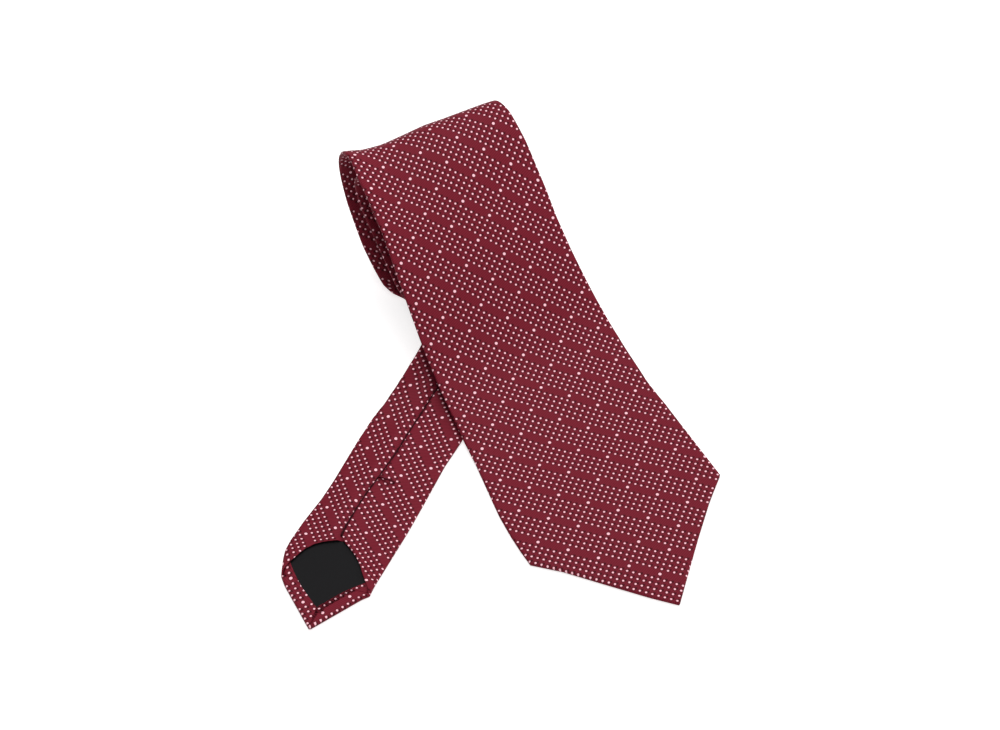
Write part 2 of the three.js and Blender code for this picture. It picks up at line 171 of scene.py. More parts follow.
def place(s, v, n):
    """Points of the ribbon, in metres in the part's frame: s from the blade's tip, v across, n above the mid-plane."""
    s, v, n = np.broadcast_arrays(np.asarray(s, float), v, n)
    v = v + INNER_SHIFT * ramp(s, 385, 425) * ramp(TOTAL - s, 245, 320)
    py, pz, ty, tz = blade_curve.at(s)
    k = np.clip((s - 500) / (BLADE_LEN - 500), 0, None)
    one = np.stack([v + X_END * k * k * (3 - 2 * k), py - n * tz, pz + n * ty], -1)
    q = np.clip((TOTAL - s) / 0.5, 0, len(line) - 1)
    i = np.arange(len(line))
    x, g, h = (np.interp(q, i, line[:, c]) for c in range(3))
    vt = v + table(TOTAL - s, TAIL_SHIFT)
    x, g = x + vt * np.sin(h), g - vt * np.cos(h)
    py, pz, ty, tz = tail_curve.at(g - TAIL_RUN[0][0])
    two = np.stack([x, py + n * tz, pz - n * ty], -1)
    p = np.where((s <= BLADE_LEN)[..., None], one, two)
    p[..., 2] *= 1 - TILT * p[..., 0]
    # the crest climbs towards its right end, in a slow wave
    high = ramp(p[..., 2], 46, 66) * table(p[..., 0], CREST)
    p[..., 1] += 0.35 * high
    p[..., 2] += 0.70 * high
    return (p + SHIFT) / 1000


# Where the tie lies in view its two sides aren't quite alike: half widths to the right and to the left.
BLADE_RIGHT = np.array([[48.6, 46.0], [73, 45.1], [93, 44.4], [108, 42.9], [120, 42.8], [134, 42.6], [149, 41.6],
                        [163, 40.2], [179, 38.7], [195, 37.9], [209, 38.2], [229, 37.8], [243, 36.6], [255, 34.7],
                        [266, 33.7], [276, 34.0], [292, 37.8]])
BLADE_LEFT = np.array([[42.5, 43.5], [50, 44.1], [59, 44.4], [70, 44.2], [78, 43.5], [90, 42.3], [100, 41.5], [112, 41.3],
                       [129, 40.3], [145, 39.8], [190, 39.6], [206, 39.1], [221, 39.0], [236, 39.7], [248, 39.1],
                       [264, 39.8], [290, 39.6], [310, 38.6], [320, 37.3], [329, 35.9], [334, 33.8], [339, 29.8],
                       [346, 28.0], [356, 28.6], [366, 30.4], [385, 31.6], [410, 31.2]])
POINT_EDGE_R = np.array([[0, 0], [10, 9.0], [25, 22.6], [38, 34.9], [48.6, 46.0]])
POINT_EDGE_L = np.array([[0, 0], [8, 8.5], [20, 20.1], [34, 33.5], [42.5, 43.5]])
TAIL_SIDE_R = np.array([[21.5, 18.9], [30, 19.1], [40, 19.3], [58, 19.6], [74, 19.3], [95, 18.7], [110, 19.4], [140, 18.7]])
TAIL_SIDE_L = np.array([[21.5, 18.45], [25, 19.8], [28, 21.0], [31, 22.1], [36, 22.5], [46.5, 22.1], [60, 20.8], [70, 20.6],
                        [82, 20.9], [95, 21.2], [106, 20.8], [116, 19.4], [128, 18.3], [140, 18.6]])
TAIL_SHIFT = np.array([[112, 0.0], [122, 0.4], [129, 1.2], [139, 3.7], [150, 6.6], [165, 8.4], [185, 6.5], [215, 0.0]])
POINT_T = 0.858  # half width of the tail's point for each mm from its tip


def half_width(s):
    t = TOTAL - s
    w = np.interp(s, WIDTHS[:, 0], WIDTHS[:, 1]) / 2
    w = np.where(s < BLADE_POINT, s, w)
    return np.where(t < TAIL_POINT, t * POINT_T, w)


def sides(s):
    """Half width to the right and to the left."""
    s = np.asarray(s, float)
    t, w = TOTAL - s, half_width(s)
    right = np.where(s < 292, table(s, BLADE_RIGHT), w)
    left = np.where(s < 410, table(s, BLADE_LEFT), w)
    right = np.where(s < 48.6, table(s, POINT_EDGE_R), right)
    left = np.where(s < 42.5, table(s, POINT_EDGE_L), left)
    right = np.where(t < 140, np.minimum(table(t, TAIL_SIDE_R), 0.905 * t), right)
    left = np.where(t < 140, np.minimum(table(t, TAIL_SIDE_L), POINT_T * t), left)
    return right, left


# ---------------------------------------------------------------- the dot pattern, in lattice steps
def blade_lattice(s, c):
    u, v = c / DOT - 2.1, 30.5 - s / DOT
    return (u + v) / math.sqrt(2), (v - u) / math.sqrt(2)


def neck_lattice(s, c):
    u, v = c / DOT + 1.3, 12.2 - s / DOT
    return (u + v) / math.sqrt(2), (v - u) / math.sqrt(2)


# Big dots of the tail's two back flaps: (distance from the tip, across, i, j).
RIGHT_DOTS = np.array(
    [[118.1, 6.7, 0, 0], [109.0, 15.3, 5, 0], [101.3, 5.9, 5, 5], [90.5, 13.9, 10, 5], [82.6, 4.1, 10, 10],
     [74.2, 13.6, 15, 10], [66.2, 3.9, 15, 15], [57.4, 13.9, 20, 15], [50.6, 4.6, 20, 20], [43.8, 14.8, 25, 20]])
LEFT_DOTS = np.array(
    [[130.2, -13.2, 0, 0], [118.0, -5.4, 5, 0], [110.0, -15.0, 5, 5], [100.1, -6.4, 10, 5], [91.7, -15.6, 10, 10],
     [81.8, -6.6, 15, 10], [72.5, -15.0, 15, 15], [62.6, -6.3, 20, 15], [55.1, -16.1, 20, 20], [48.9, -8.0, 25, 20],
     [41.7, -18.5, 25, 25]])


def flap_terms(t, c):
    t, c = np.broadcast_arrays(np.asarray(t, float), c)
    near = np.clip(t, 30, 135)
    bend = (near - 80) / 50
    return np.stack([np.ones_like(t), t / DOT, c / DOT, bend**2, bend**3], -1)


def flap_lattice(dots):
    A = flap_terms(dots[:, 0], dots[:, 1])
    # the cloth's own lattice lies at 45 degrees: bend the fit only as far as the dots ask
    base = np.array([[0, -1 / math.sqrt(2), 1 / math.sqrt(2), 0, 0], [0, -1 / math.sqrt(2), -1 / math.sqrt(2), 0, 0]]).T
    keep = np.diag([1e-6, 0.6, 0.6, 0.15, 0.15])
    want = dots[:, 2:] - A @ base
    fit = base + np.linalg.solve(A.T @ A + keep, A.T @ want)
    return lambda t, c: tuple(np.moveaxis(flap_terms(t, c) @ fit + np.array([1, 4]), -1, 0))


right_lattice, left_lattice = flap_lattice(RIGHT_DOTS), flap_lattice(LEFT_DOTS)
EDGE = np.array([1.0, POINT_T]) / math.hypot(1.0, POINT_T)


def hem_lattice(t, c, side):
    """On the tail's hems the rows lie along the folded edge. side is 1 for the right hem and -1 for the left."""
    e, p = t * EDGE[0] + side * c * EDGE[1], t * EDGE[1] - side * c * EDGE[0]
    if side > 0:
        return 1 + (e - 8.2) / DOT, 4 + (p - 2.8) / DOT
    return 1 + (p - 3.0) / DOT, 4 + (e - 12.5) / DOT


# ---------------------------------------------------------------- the back's opening
# Inner edges of the two back flaps, as v, against the distance from the tip.
TAIL_RIGHT = np.array([[21.5, 18.6], [24, 17.5], [26, 16.4], [29.8, 13.8], [32.8, 11.6], [35.6, 9.2], [38.3, 6.2], [40.4, 3.2],
                       [42.1, 0.3], [43.6, -2.3], [45.6, -3.4], [51, -3.9], [61, -4.0], [70.5, -3.7], [79, -3.0],
                       [91, -2.2], [119, -2.0], [140, -1.5]])
TAIL_LEFT = np.array([[21.5, -18.7], [24.7, -18.1], [27.4, -17.1], [30.3, -15.9], [34.0, -14.5], [37.3, -12.3],
                      [39.7, -9.5], [41.5, -6.4], [43.6, -2.4], [45, 0.6], [48, 2.0], [140, 2.0]])


def blade_arch(s):
    k = np.clip((s - BLADE_POINT) / 38, 0, 1)
    return 42.0 * np.sqrt(1 - k**2.4)


def seam_edges(s):
    """v of the right flap's inner edge and of the left flap's, for s anywhere behind the points."""
    t = TOTAL - s
    arch = blade_arch(s)
    right = np.where(s < 300, np.where(arch > 0.01, arch, 0) - 1.5 * ramp(s, 78, 84), -1.5)
    left = np.where(s < 300, -np.where(arch > 0.01, arch, 0) + 2.0 * ramp(s, 79, 86), 2.0)
    right = np.where(t < 140, np.interp(t, TAIL_RIGHT[:, 0], TAIL_RIGHT[:, 1]), right)
    left = np.where(t < 140, np.interp(t, TAIL_LEFT[:, 0], TAIL_LEFT[:, 1]), left)
    return right, left


def hem_edges(d, blade):
    """v of the hems' inner edges at the distance d from the tip: right, left."""
    if blade:
        e = np.clip(d - 11.0, 0.06, None)
        return e, -e
    return np.clip(0.885 * (d - 10.1), 0.06, None), -np.clip(1.02 * (d - 10.1), 0.06, None)


# ---------------------------------------------------------------- outlines of the folded silk
N_TURN, N_FLAP, N_ARC, N_FRONT = 3, 9, 6, 26
NB = NF = 0.7  # the cloth's own mid-surface, off the tie's mid-plane


def tidy_noise(s, v, seed, long, wide):
    """A slow, small unevenness of the cloth, from -1 to 1."""
    r = np.random.default_rng(seed)
    out = np.zeros(np.broadcast(s, v).shape)
    for _ in range(7):
        a, b, p = r.uniform(0.5, 1.6) / long, r.uniform(-1.4, 1.4) / wide, r.uniform(0, 6.28)
        out = out + np.sin(2 * math.pi * (a * s + b * v) + p)
    return out / 7 * 1.6


def shell_section(ss, right, left):
    """v and n on a grid, and the region of each column of faces: the right flap from its inner edge, the right fold,
    the front, the left fold, and the left flap to its inner edge."""
    wr, wl = (q[:, None] for q in sides(ss))
    ss, right, left = (np.asarray(x, float)[:, None] for x in (ss, right, left))
    t, one = TOTAL - ss, np.ones_like(ss)
    rr, rl = np.minimum(0.7, 0.92 * wr), np.minimum(0.7, 0.92 * wl)
    visible = ramp(t, 190, 130)  # the tail lies open to view, with soft raised flaps
    open_ = ramp(t, 50, 43.5) * (t < 140)  # where the two flaps part at the arch
    in_r, in_l = np.minimum(right, wr - rr - 0.02), np.maximum(left, -(wl - rl - 0.02))
    cols_v, cols_n, region = [], [], []
    # right flap: a soft roll along its inner edge, turned in
    f = (1 - np.cos(np.linspace(0, math.pi / 2, N_FLAP + 1)))[None, :]
    vr = in_r + (wr - rr - in_r) * f
    near = np.exp(-((vr - in_r - 0.8) / 3.4) ** 2)
    high = visible * (0.95 * (1 - open_) + 0.55 * open_)
    edge_n = -(NB + high * near + visible * 0.10)
    turn = np.minimum(3.2, 0.5 * (wr - rr - in_r))
    cols_v += [in_r + turn, in_r + 0.5 * turn, in_r + np.minimum(0.12, turn)]
    cols_n += [-(NB - 0.36) * one, -(NB - 0.36) - 0.10 * high, -(NB - 0.16) - 0.22 * high]
    region += ["R"] * 3
    cols_v += [vr[:, [j]] for j in range(N_FLAP + 1)]
    cols_n += [edge_n[:, [j]] for j in range(N_FLAP + 1)]
    region += ["R"] * N_FLAP
    for k in range(1, N_ARC + 1):  # right fold
        q = math.pi * k / N_ARC
        cols_v.append(wr - rr + rr * math.sin(q))
        cols_n.append(-rr * math.cos(q) - visible * 0.10 * (1 - k / N_ARC))
        region.append("R")
    for k in range(1, N_FRONT + 1):  # front
        q = 0.55 * math.cos(math.pi * k / N_FRONT) + 0.45 * (1 - 2 * k / N_FRONT)
        cols_v.append((wr - rr) * q if q > 0 else (wl - rl) * q)
        cols_n.append((rr if q > 0 else rl) * one)
        region.append("F")
    for k in range(1, N_ARC + 1):  # left fold
        q = math.pi * k / N_ARC
        cols_v.append(-(wl - rl) - rl * math.sin(q))
        cols_n.append(rl * math.cos(q) - visible * 0.10 * (k / N_ARC))
        region.append("L")
    # left flap, tucked under the right one where they meet
    f = np.sin(np.linspace(0, math.pi / 2, N_FLAP + 1))[None, 1:]
    vl = -(wl - rl) + (in_l + (wl - rl)) * f
    near = np.exp(-((vl - in_l + 0.9) / 3.0) ** 2)
    under = ramp(vl, in_r - 3.4, in_r - 1.0)
    swell = 1.15 * np.exp(-((vl - in_r + 4.6) / 3.6) ** 2) * (1 - open_)
    nl = -(NB + visible * 0.10 + visible * (swell + 0.55 * open_ * near) * (1 - under)) + under * (0.36 + visible * 0.10)
    cols_v += [vl[:, [j]] for j in range(N_FLAP)]
    cols_n += [nl[:, [j]] for j in range(N_FLAP)]
    region += ["L"] * N_FLAP
    return np.hstack(cols_v), np.hstack(cols_n), region


def cloth_coordinates(V, ss, region):
    """Unrolled distance across the cloth from its centre line, continuous round both folds."""
    wr, wl = (q[:, None] for q in sides(ss))
    m = len(region)
    first_front, last_front = region.index("F"), m - 1 - region[::-1].index("F")
    c, k = V.copy(), np.arange(m + 1)
    back_r, back_l = k < first_front - N_ARC, k > last_front + 1 + N_ARC
    c[:, back_r] = 2 * wr - V[:, back_r] + 0.8
    c[:, back_l] = -2 * wl - V[:, back_l] - 0.8
    for j in range(N_ARC + 1):
        c[:, first_front - j] = wr[:, 0] - 0.7 + 2.2 * j / N_ARC
        c[:, last_front + 1 + j] = -(wl[:, 0] - 0.7) - 2.2 * j / N_ARC
    return c


def back_coordinates(V, c, ss):
    """The cloth's distance across as its back flaps see it: v on the flaps, running on past the folds."""
    wr, wl = (q[:, None] for q in sides(ss))
    return np.where(c > 0, 2 * wr - c + 0.8, V), np.where(c < 0, -2 * wl - c - 0.8, V)


def grid_faces(k, m):
    i, j = np.meshgrid(np.arange(k - 1), np.arange(m - 1), indexing="ij")
    a = (i * m + j).ravel()
    return np.stack([a, a + 1, a + m + 1, a + m], 1)


class Sheets:
    """Gathers grids of one piece of cloth into one mesh, with lattice coordinates at each face corner."""

    def __init__(self):
        self.points, self.faces, self.uv, self.count = [], [], [], 0

    def grid(self, P, uv_of_column):
        k, m = P.shape[:2]
        f = grid_faces(k, m)
        self.points.append(P.reshape(-1, 3))
        self.faces.append(f + self.count)
        self.count += k * m
        uv = np.zeros((k - 1, m - 1, 4, 2))
        for j in range(m - 1):
            I, J = uv_of_column(j)  # lattice coordinates on the grid, for faces of column j
            corner = np.stack([I, J], -1)
            uv[:, j, 0], uv[:, j, 1] = corner[:-1, j], corner[:-1, j + 1]
            uv[:, j, 2], uv[:, j, 3] = corner[1:, j + 1], corner[1:, j]
        self.uv.append(uv.reshape(-1, 4, 2))

    def build(self, name, material, thickness, weld=3e-6, flip=False):
        P, F, UV = np.vstack(self.points), np.vstack(self.faces), np.concatenate(self.uv)
        if flip:
            F, UV = F[:, ::-1], UV[:, ::-1]
        mesh = bpy.data.meshes.new(name)
        mesh.from_pydata(P.tolist(), [], F.tolist())
        for layer in ("fabric", "OFBake"):
            mesh.uv_layers.new(name=layer).data.foreach_set("uv", (UV / 5).astype(np.float32).ravel())
        bm = bmesh.new()
        bm.from_mesh(mesh)
        bmesh.ops.remove_doubles(bm, verts=bm.verts, dist=weld)
        bm.to_mesh(mesh)
        bm.free()
        mesh.uv_layers["fabric"].active_render = True
        mesh.shade_smooth()
        obj = bpy.data.objects.new(name, mesh)
        bpy.context.scene.collection.objects.link(obj)
        mesh.materials.append(material)
        if thickness:
            m = obj.modifiers.new("thickness", "SOLIDIFY")
            m.thickness, m.offset, m.use_even_offset = thickness / 1000, 0, False
        return obj


# ---------------------------------------------------------------- materials
def srgb(r, g, b):
    return tuple(((c / 255 + 0.055) / 1.055) ** 2.4 if c > 10 else c / 255 / 12.92 for c in (r, g, b)) + (1.0,)


def new_material(name):
    m = bpy.data.materials.new(name)
    m.use_nodes = True
    return m, m.node_tree.nodes, m.node_tree.links, m.node_tree.nodes["Principled BSDF"]


def math_node(nodes, links, op, a, b=None, c=None):
    n = nodes.new("ShaderNodeMath")
    n.operation = op
    for i, x in enumerate((a, b, c)):
        if x is None:
            continue
        if isinstance(x, (int, float)):
            n.inputs[i].default_value = x
        else:
            links.new(x, n.inputs[i])
    return n.outputs[0]


def silk_material():
    m, nodes, links, bsdf = new_material("burgundy_silk")
    M = lambda op, a, b=None, c=None: math_node(nodes, links, op, a, b, c)  # noqa: E731
    uv = nodes.new("ShaderNodeUVMap")
    uv.uv_map = "fabric"
    xyz = nodes.new("ShaderNodeSeparateXYZ")
    links.new(uv.outputs[0], xyz.inputs[0])
    i, j = M("MULTIPLY", xyz.outputs[0], 5.0), M("MULTIPLY", xyz.outputs[1], 5.0)
    off = lambda q, shift, step: M(  # noqa: E731  signed distance to the nearest shift + k*step
        "MULTIPLY", M("SUBTRACT", M("FRACT", M("ADD", M("DIVIDE", M("SUBTRACT", q, shift), step), 1000.5)), 0.5), step)
    small_i, small_j = off(i, 0.0, 1.0), off(j, 0.0, 1.0)
    big_i, big_j = off(i, 1.0, 5.0), off(j, 4.0, 5.0)
    length = lambda p, q: M("SQRT", M("ADD", M("MULTIPLY", p, p), M("MULTIPLY", q, q)))  # noqa: E731
    small_d, big_d = length(small_i, small_j), length(big_i, big_j)
    plain = M("LESS_THAN", M("ABSOLUTE", big_j), 0.5)  # the rows that hold only big dots

    def step(d, r, soft):
        n = nodes.new("ShaderNodeMapRange")
        n.interpolation_type = "SMOOTHSTEP"
        links.new(d, n.inputs["Value"])
        n.inputs["From Min"].default_value, n.inputs["From Max"].default_value = r - soft, r + soft
        n.inputs["To Min"].default_value, n.inputs["To Max"].default_value = 1.0, 0.0
        return n.outputs[0]

    shown = M("SUBTRACT", 1.0, plain)
    small = M("MULTIPLY", step(small_d, 0.165, 0.06), shown)
    big = step(big_d, 0.245, 0.06)
    dots = M("MAXIMUM", small, big)
    # the ground is darker in a ring round each dot, and darkest in a spot off to one side of each small dot
    side_spot_d = length(M("SUBTRACT", small_i, 0.30), M("SUBTRACT", small_j, -0.22))
    halo = M("MULTIPLY", M("MAXIMUM", step(side_spot_d, 0.24, 0.14), M("MULTIPLY", step(small_d, 0.34, 0.14), 0.55)), shown)
    halo = M("MAXIMUM", halo, M("MULTIPLY", step(big_d, 0.40, 0.12), 0.6))
    # twill: fine lines along the cloth's diagonal, whole numbers of them to a repeat
    line_ = M("SINE", M("MULTIPLY", M("ADD", M("MULTIPLY", i, 9.0), M("MULTIPLY", j, 3.0)), 2 * math.pi / 5 * 5 / 3))
    twill = M("MULTIPLY_ADD", line_, 0.5, 0.5)

    ground = nodes.new("ShaderNodeMixRGB")
    ground.inputs[1].default_value, ground.inputs[2].default_value = srgb(*GROUND_DARK), srgb(*GROUND)
    links.new(twill, ground.inputs[0])
    ringed = nodes.new("ShaderNodeMixRGB")
    links.new(M("MULTIPLY", halo, 0.85), ringed.inputs[0])
    links.new(ground.outputs[0], ringed.inputs[1])
    ringed.inputs[2].default_value = srgb(*HALO)
    dotted = nodes.new("ShaderNodeMixRGB")
    links.new(dots, dotted.inputs[0])
    links.new(ringed.outputs[0], dotted.inputs[1])
    dotted.inputs[2].default_value = srgb(*DOT_COLOUR)
    links.new(dotted.outputs[0], bsdf.inputs["Base Color"])
    height = M("ADD", M("MULTIPLY", twill, 0.16), M("MULTIPLY", dots, 0.8))
    bump = nodes.new("ShaderNodeBump")
    bump.inputs["Strength"].default_value, bump.inputs["Distance"].default_value = 0.35, 0.00012
    links.new(height, bump.inputs["Height"])
    links.new(bump.outputs[0], bsdf.inputs["Normal"])
    bsdf.inputs["Roughness"].default_value = 0.58
    bsdf.inputs["Specular IOR Level"].default_value = 0.06
    bsdf.inputs["Sheen Weight"].default_value = 0.03
    bsdf.inputs["Sheen Roughness"].default_value = 0.4
    bsdf.inputs["Sheen Tint"].default_value = srgb(225, 120, 140)
    return m


def weave_material(name, low, high, scale, roughness, bump_strength):
    """A plain fine weave, in the coordinates of the fabric map."""
    m, nodes, links, bsdf = new_material(name)
    M = lambda op, a, b=None, c=None: math_node(nodes, links, op, a, b, c)  # noqa: E731
    uv = nodes.new("ShaderNodeUVMap")
    uv.uv_map = "fabric"
    xyz = nodes.new("ShaderNodeSeparateXYZ")
    links.new(uv.outputs[0], xyz.inputs[0])
    wave = lambda q: M("SINE", M("MULTIPLY", q, 2 * math.pi * scale))  # noqa: E731
    w = M("MULTIPLY_ADD", M("MULTIPLY", wave(xyz.outputs[0]), wave(xyz.outputs[1])), 0.5, 0.5)
    mix = nodes.new("ShaderNodeMixRGB")
    links.new(w, mix.inputs[0])
    mix.inputs[1].default_value, mix.inputs[2].default_value = srgb(*low), srgb(*high)
    links.new(mix.outputs[0], bsdf.inputs["Base Color"])
    bump = nodes.new("ShaderNodeBump")
    bump.inputs["Strength"].default_value, bump.inputs["Distance"].default_value = bump_strength, 0.00008
    links.new(w, bump.inputs["Height"])
    links.new(bump.outputs[0], bsdf.inputs["Normal"])
    bsdf.inputs["Roughness"].default_value = roughness
    bsdf.inputs["Specular IOR Level"].default_value = 0.08
    return m


def plain_material(name, colour, roughness):
    m, _, _, bsdf = new_material(name)
    bsdf.inputs["Base Color"].default_value = srgb(*colour)
    bsdf.inputs["Roughness"].default_value = roughness
    bsdf.inputs["Specular IOR Level"].default_value = 0.1
    return m


GROUND, GROUND_DARK, HALO, DOT_COLOUR = (118, 32, 46), (103, 22, 36), (58, 8, 17), (255, 197, 208)
SILK = silk_material()
LINING = weave_material("black_lining", (14, 14, 15), (26, 25, 27), 30, 0.6, 0.3)
WOOL = weave_material("wool_interlining", (214, 206, 190), (232, 226, 212), 12, 0.95, 0.6)
# thread for the panel seams and bar tacks: the real thread is the silk's colour, and it is made darker here as painted
# shade, standing in for the shadowed outline of the raised tail tack
THREAD = plain_material("burgundy_thread", (80, 13, 26), 0.6)
# dark thread for the slip stitches; where it lies thick in the tail's open groove its darkness is a painted shadow line
# along the right flap's folded edge
STITCH_THREAD_AND_SHADOW = plain_material("stitch_thread_painted_shadow", (48, 6, 14), 0.7)
LABEL = weave_material("black_label", (24, 24, 27), (38, 38, 42), 40, 0.5, 0.3)
TAG = weave_material("white_tag", (222, 220, 214), (238, 236, 231), 40, 0.6, 0.3)


# ---------------------------------------------------------------- building the silk
def uneven(s, V, N, region):
    """The slow unevenness of cloth where the tie lies loose, fading out inside the roll."""
    t = TOTAL - s
    wr, wl = (q for q in sides(s[:, 0]))
    inner = ramp(np.minimum(wr[:, None] - V, V + wl[:, None]), 0.5, 3.0)
    front = N > 0.3
    out = 0.16 * ramp(s, 215, 150) * tidy_noise(s, V, 3, 46, 70) * inner
    back = 0.22 * ramp(t, 200, 140) * ramp(t, 10, 30) * (0.4 + 0.6 * tidy_noise(s, V, 5, 30, 26)) * inner
    return np.where(front, N + out * (s < 300), np.where((t < 220) & ~front, N - back, N))


def add_panel(sheets, ss, which):
    ss = np.asarray(ss, float)
    right, left = seam_edges(ss)
    V, N, region = shell_section(ss, right, left)
    s = ss[:, None]
    P = place(s, V, uneven(s, V, N, region))
    c = cloth_coordinates(V, ss, region)
    if which == "tail":
        vr, vl = back_coordinates(V, c, ss)
        on_right, on_left = right_lattice(TOTAL - s, vr), left_lattice(TOTAL - s, vl)
        pick = lambda j: on_right if region[j] == "R" else on_left  # noqa: E731
    else:
        both = (blade_lattice if which == "blade" else neck_lattice)(s, c)
        pick = lambda j: both  # noqa: E731
    sheets.grid(P, pick)


def add_point(sheets, ds, blade):
    """The pointed end: the front, folded over its slanting edges into two hems that meet at the tip."""
    ds = np.asarray(ds, float)
    ss = ds if blade else TOTAL - ds
    wr, wl = sides(ss)
    right, left = hem_edges(ds, blade)
    V, N, region = shell_section(ss, np.minimum(right, 0.9 * wr), np.maximum(left, -0.9 * wl))
    s, d = ss[:, None], ds[:, None]
    # the hems lie a little lower than the flaps over them
    low = (N < -0.3) & (V < wr[:, None] - 0.75) & (V > -wl[:, None] + 0.75)
    N = np.where(low, -0.66 * np.minimum(1, np.minimum(wr, wl)[:, None] / 0.76), N)
    N = uneven(s, V, N, region) if blade else N
    P = place(s - (1.35 * (1 - d / BLADE_POINT) if blade else 0), V, N)
    c = cloth_coordinates(V, ss, region)
    if blade:
        both = blade_lattice(s - 1.35 * (1 - d / BLADE_POINT), c)
        pick = lambda j: both  # noqa: E731
    else:
        vr, vl = back_coordinates(V, c, ss)
        r_map, l_map, front = hem_lattice(d, vr, 1), hem_lattice(d, vl, -1), left_lattice(d, vl)
        pick = lambda j: {"R": r_map, "L": l_map, "F": front}[region[j]]  # noqa: E731
    sheets.grid(P, pick)


def hem_corner(sheets, blade, side):
    """The hem's end, carried on under the flap behind the corner."""
    d0 = BLADE_POINT if blade else TAIL_POINT
    ds = np.linspace(d0, d0 + (7 if blade else 6.5), 7)
    ss = ds if blade else TOTAL - ds
    e = hem_edges(ds, blade)[0 if side > 0 else 1]
    outer = side * (sides(ss)[0 if side > 0 else 1] - 1.1)
    f = np.linspace(0, 1, 5)[None, :]
    inner = np.where(np.abs(e) < np.abs(outer), e, outer - side * 0.05)
    V = inner[:, None] + (outer - inner)[:, None] * f
    P = place(ss[:, None], V, np.full_like(V, -0.6))
    uv = blade_lattice(ss[:, None] + 0 * V, V) if blade else hem_lattice(ds[:, None] + 0 * V, V, side)
    sheets.grid(P if side < 0 else P[:, ::-1], lambda j: uv if side < 0 else tuple(q[:, ::-1] for q in uv))


def spaced(*stops):
    """spaced(a, step, b, step, c): numbers from a to c at those steps."""
    out = []
    for a, step, b in zip(stops[0::2], stops[1::2], stops[2::2]):
        out += list(np.linspace(a, b, max(2, round((b - a) / step) + 1))[:-1])
    return np.array([*out, stops[-1]])


silk = Sheets()
add_point(silk, spaced(0.35, 0.5, 6, 1.2, BLADE_POINT), True)
add_panel(silk, spaced(BLADE_POINT, 0.9, 84, 1.2, 112, 1.6, 215, 1.2, BLADE_SEAM), "blade")
for side in (1, -1):
    hem_corner(silk, True, side)
blade_silk = silk.build("blade_silk", SILK, 0.3)

silk = Sheets()
add_panel(silk, spaced(BLADE_SEAM + 0.12, 1.2, BLADE_LEN - 5, 0.3, BLADE_LEN + 5, 1.2, NECK_SEAM), "neck")
neck_silk = silk.build("neck_silk", SILK, 0.3)

silk = Sheets()
add_panel(silk, spaced(NECK_SEAM + 0.12, 1.2, TOTAL - 140, 0.9, TOTAL - 48, 0.5, TOTAL - TAIL_POINT), "tail")
add_point(silk, spaced(0.35, 0.4, TAIL_POINT)[::-1], False)
for side in (1, -1):
    hem_corner(silk, False, side)
tail_silk = silk.build("tail_silk", SILK, 0.3)


# ---------------------------------------------------------------- interlinings, linings, labels
def strip(name, material, ss, v0, v1, n, thickness, columns=8, n_of=None):
    """A plain strip of cloth along the ribbon, from v0(s) to v1(s) across."""
    ss = np.asarray(ss, float)
    f = np.linspace(0, 1, columns + 1)[None, :]
    a, b = (np.asarray(q(ss), float)[:, None] for q in (v0, v1))
    V = a + (b - a) * f
    N = np.full_like(V, n) if n_of is None else n_of(ss[:, None] + 0 * V, V)
    sheets = Sheets()
    uv = (ss[:, None] / DOT + 0 * V, V / DOT)
    sheets.grid(place(ss[:, None], V, N), lambda j: uv)
    return sheets.build(name, material, thickness)


inside = lambda margin, sign: lambda s: sign * np.maximum(sides(s)[0 if sign > 0 else 1] - margin, 0.1)  # noqa: E731
blade_wool = strip("blade_wool", WOOL, spaced(3, 1.5, 88, 1.0, 108, 1.5, LINING_JOIN - 0.2), inside(1.1, -1), inside(1.1, 1), 0.0, 0.5)
tail_wool = strip("tail_wool", WOOL, spaced(LINING_JOIN + 0.2, 1.5, BLADE_LEN - 5, 0.4, BLADE_LEN + 5, 1.5, TOTAL - 110, 1.0, TOTAL - 3),
                  inside(1.1, -1), inside(1.1, 1), 0.0, 0.5)


def lining_reach(blade):
    """The lining fills its opening and runs on a little under the hems and flaps."""
    def reach(s, side):
        d = s if blade else TOTAL - s
        hem = np.abs(hem_edges(d, blade)[0 if side > 0 else 1]) + 2.5
        arch = (blade_arch(s) if blade else np.abs(np.interp(d, *(TAIL_RIGHT if side > 0 else TAIL_LEFT).T))) + 2.5
        w = sides(s)[0 if side > 0 else 1] - 1.4
        point = BLADE_POINT if blade else TAIL_POINT
        return side * np.maximum(np.minimum(np.where(d < point, hem, np.minimum(hem, arch)), w), 0.15)
    return lambda s: reach(s, -1), lambda s: reach(s, 1)


lo_, hi_ = lining_reach(True)
blade_lining = strip("blade_lining", LINING, spaced(9.0, 1.5, 86), lo_, hi_, -0.46, 0.16, 14)
lo_, hi_ = lining_reach(False)
tail_lining = strip("tail_lining", LINING, spaced(TOTAL - 47, 0.8, TOTAL - 8.5), lo_, hi_, -0.46, 0.16, 14,
                    lambda s, v: -0.46 - 0.16 * np.exp(-((TOTAL - s - 28) / 9) ** 2 - (v / 9) ** 2))


def keeper_n(s, v):
    return -1.1 - 0.85 * (1 - ramp(np.abs(v), 22.5, 26.5))


